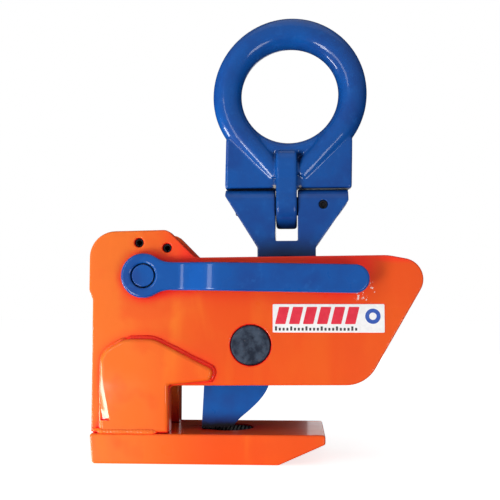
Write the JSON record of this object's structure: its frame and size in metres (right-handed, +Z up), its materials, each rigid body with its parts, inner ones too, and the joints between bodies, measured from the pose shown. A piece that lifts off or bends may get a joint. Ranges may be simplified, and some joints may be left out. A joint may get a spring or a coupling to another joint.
{
  "type": "plate lifting clamp",
  "caption": "Welded jaw body with a toothed cam that grips a plate edge, a shackle plate with a folding lifting eye, and a side locking lever.",
  "frame": {"origin": "centre of the underside of the jaw base in the mid-plane, straight below the cam pin", "axes": "+X towards the open mouth of the jaw, +Y away from the lever side, +Z up towards the lifting eye"},
  "size_m": [0.2398, 0.0896, 0.3305],
  "materials": {
    "orange_paint": "glossy orange enamel over welded steel plate",
    "blue_paint": "glossy blue enamel over forged steel",
    "dark_steel": "dark blued steel, lightly mottled",
    "black_steel": "black hardened steel, serrated",
    "bright_steel": "plain zinc plated steel",
    "label_face": null
  },
  "bodies": {
    "frame": {"jaw_base": "orange_paint", "jaw_pad": "black_steel", "pad_screw": "dark_steel", "front_cheek": "orange_paint", "rear_cheek": "orange_paint", "front_doubler": "orange_paint", "rear_doubler": "orange_paint", "spine_block": "orange_paint", "nose_spacer": "orange_paint", "locked_stop_pin": "dark_steel", "unlocked_stop_pin": "dark_steel", "cam_pin": "dark_steel", "cam_pin_washer": "bright_steel", "cam_pin_snap_ring": "dark_steel", "cam_washer_front": "bright_steel", "cam_washer_rear": "bright_steel", "tension_spring": "bright_steel", "label_plate": "label_face"},
    "cam": {"cam": "blue_paint", "lug_pin": "dark_steel"},
    "shackle": {"shackle_plate": "blue_paint", "shackle_pin": "dark_steel", "hinge_pin": "dark_steel", "hinge_pin_lock": "dark_steel", "spring_anchor_pin": "dark_steel"},
    "links": {"link_front": "dark_steel", "link_rear": "dark_steel"},
    "eye": {"lifting_eye": "blue_paint"},
    "lever": {"lever_arm": "blue_paint", "lever_shaft": "blue_paint", "lever_washer": "bright_steel", "crank_web_front": "dark_steel", "crank_web_rear": "dark_steel", "crank_pin": "dark_steel", "rear_shaft": "dark_steel", "rear_shaft_washer": "bright_steel", "rear_shaft_snap_ring": "dark_steel"}
  },
  "joints": [
    {"name": "cam_turn", "type": "hinge", "parent": "frame", "child": "cam", "pos_m": [0, 0, 0.083], "axis": [0, 1, 0], "range_deg": [0, 32], "stiffness_Nm_per_rad": 2, "springref_deg": -45.84},
    {"name": "shackle_lift", "type": "slide", "parent": "frame", "child": "shackle", "axis": [0, 0, -1], "range_m": [0, 0.0178]},
    {"name": "link_swing", "type": "hinge", "parent": "shackle", "child": "links", "pos_m": [0.026, 0, 0.133], "axis": [0, 1, 0], "range_deg": [-13.1, 0]},
    {"name": "eye_fold", "type": "hinge", "parent": "shackle", "child": "eye", "pos_m": [0.0257, 0, 0.186], "axis": [1, 0, 0], "range_deg": [-90, 90]},
    {"name": "lever_turn", "type": "hinge", "parent": "frame", "child": "lever", "pos_m": [-0.076, 0, 0.1324], "axis": [0, -1, 0], "range_deg": [0, 150], "deforming": ["tension_spring"]}
  ],
  "couplings": [
    {"joint": "shackle_lift", "follows": "cam_turn", "m_per_rad": 0.03175},
    {"joint": "link_swing", "follows": "cam_turn", "ratio": -0.406}
  ]
}
